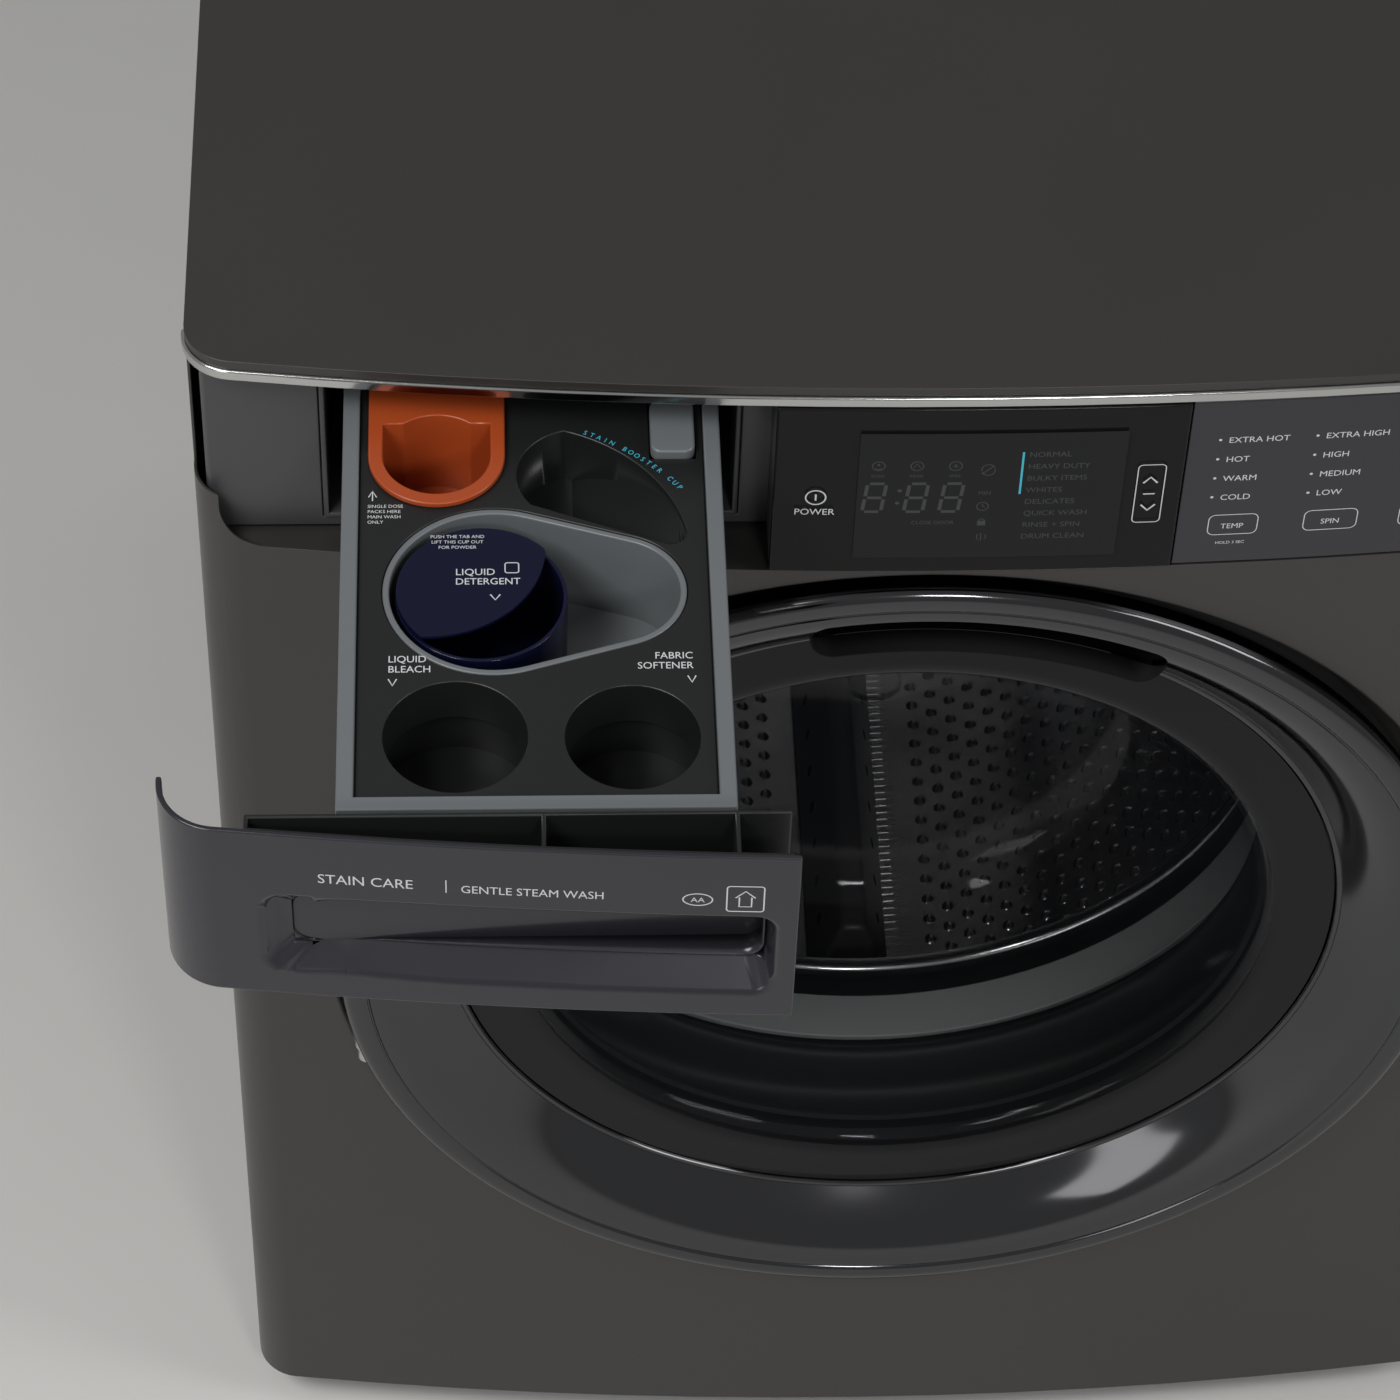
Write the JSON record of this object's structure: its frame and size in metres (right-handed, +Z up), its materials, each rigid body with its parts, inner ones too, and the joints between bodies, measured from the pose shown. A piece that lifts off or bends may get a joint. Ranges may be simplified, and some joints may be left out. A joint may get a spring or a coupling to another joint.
{
  "type": "front load washing machine",
  "caption": "Front load washing machine with a bowed front, dished round door with a glass bowl, open dispenser drawer and suspended tub with belt-driven drum.",
  "frame": {"origin": "on the floor, midway between the four levelling feet, under the middle of the cabinet", "axes": "+Z up, -Y out of the door side (front), +X to the right as seen from the front"},
  "size_m": [0.6905, 1.0699, 0.855],
  "materials": {
    "cabinet_paint": "satin metallic",
    "zinc_steel": "galvanised",
    "console_gloss": "gloss",
    "black_glass": "gloss",
    "bright_trim": "polished",
    "smoke_chrome": "polished",
    "smoked_glass": "polished",
    "tray_plastic": "satin",
    "black_plastic": "satin",
    "dark_plastic": "satin",
    "tub_plastic": "satin",
    "orange_plastic": "gloss",
    "navy_plastic": "gloss",
    "seal_rubber": "matte",
    "stainless": "brushed",
    "bright_steel": "turned",
    "cast_aluminium": "as cast",
    "cast_block": "rough",
    "board_green": "satin",
    "valve_white": "satin"
  },
  "bodies": {
    "root": {"front_panel": "cabinet_paint", "left_side_panel": "cabinet_paint", "right_side_panel": "cabinet_paint", "top_panel": "cabinet_paint", "rear_panel": "zinc_steel", "rear_access_cover": "zinc_steel", "base_frame": "zinc_steel", "front_crossbar": "zinc_steel", "spring_rails": "zinc_steel", "top_trim_strip": "bright_trim", "levelling_feet": "dark_plastic", "foot_locknuts": "bright_steel", "console_plate": "dark_plastic", "display_glass": "black_glass", "console_fascia": "console_gloss", "control_board": "board_green", "dispenser_housing": "dark_plastic", "door_lock": "black_plastic", "hinge_bracket": "bright_steel", "hinge_pin": "bright_steel", "damper_cylinders": "dark_plastic", "suspension_springs": "bright_steel", "door_seal": "seal_rubber", "drain_pump": "valve_white", "drain_hose": "seal_rubber", "drain_outlet": "dark_plastic", "sump_hose": "seal_rubber", "fill_hose": "seal_rubber", "inlet_valves": "valve_white", "inlet_hoses": "seal_rubber", "cord_gland": "black_plastic"},
    "drawer": {"drawer_front": "console_gloss", "drawer_front_carrier": "black_plastic", "drawer_tray": "tray_plastic", "drawer_top_plate": "black_plastic", "pods_insert": "orange_plastic"},
    "release_tab": {"release_tab": "tray_plastic"},
    "detergent_cup": {"liquid_detergent_cup": "navy_plastic"},
    "door": {"door_ring": "smoke_chrome", "door_inner_frame": "dark_plastic", "door_glass": "smoked_glass", "door_hinge_arm": "bright_steel"},
    "latch": {"latch_hook": "bright_steel"},
    "tub": {"tub_front": "tub_plastic", "tub_rear": "tub_plastic", "counterweights": "cast_block", "shaft_bearings": "bright_steel", "shaft_seal": "seal_rubber", "damper_rods": "bright_steel", "drive_motor": "dark_plastic", "drive_belt": "seal_rubber", "wash_heater": "bright_steel"},
    "drum": {"drum_shell": "stainless", "drum_back": "stainless", "drum_spider": "cast_aluminium", "drum_lifters": "dark_plastic", "drum_shaft": "bright_steel", "drum_pulley": "cast_aluminium"},
    "motor_rotor": {"motor_pulley": "bright_steel"},
    "impeller": {"pump_impeller": "dark_plastic"}
  },
  "joints": [
    {"name": "door_hinge", "type": "hinge", "parent": "root", "child": "door", "pos_m": [-0.272, -0.384, 0.44], "axis": [0, 0, -1], "range_deg": [0, 125]},
    {"name": "drawer_slide", "type": "slide", "parent": "root", "child": "drawer", "axis": [0, -1, 0], "range_m": [-0.258, 0]},
    {"name": "release_tab_press", "type": "slide", "parent": "drawer", "child": "release_tab", "axis": [0, 0, -1], "range_m": [0, 0.004], "stiffness_N_per_m": 400, "springref_m": -0.002},
    {"name": "detergent_cup_lift", "type": "slide", "parent": "drawer", "child": "detergent_cup", "axis": [0, 0, 1], "range_m": [0, 0.06]},
    {"name": "latch_hook_pivot", "type": "hinge", "parent": "door", "child": "latch", "pos_m": [0.248, -0.368, 0.44], "axis": [0, 0, 1], "range_deg": [0, 8], "stiffness_Nm_per_rad": 0.5, "springref_deg": -5.73},
    {"name": "tub_suspension", "type": "slide", "parent": "root", "child": "tub", "axis": [0, 0, 1], "range_m": [-0.012, 0.012], "stiffness_N_per_m": 20000, "springref_m": 0.0257, "deforming": ["suspension_springs", "sump_hose", "fill_hose", "door_seal"]},
    {"name": "drum_spin", "type": "hinge", "parent": "tub", "child": "drum", "pos_m": [0, 0, 0.44], "axis": [0, 1, 0], "continuous": true},
    {"name": "motor_spin", "type": "hinge", "parent": "tub", "child": "motor_rotor", "pos_m": [0.19, 0, 0.125], "axis": [0, 1, 0], "continuous": true},
    {"name": "pump_impeller_spin", "type": "hinge", "parent": "root", "child": "impeller", "pos_m": [0.12, -0.2, 0.04], "axis": [0, 0, 1], "continuous": true}
  ],
  "couplings": [
    {"joint": "motor_spin", "follows": "drum_spin", "ratio": 12.174}
  ]
}
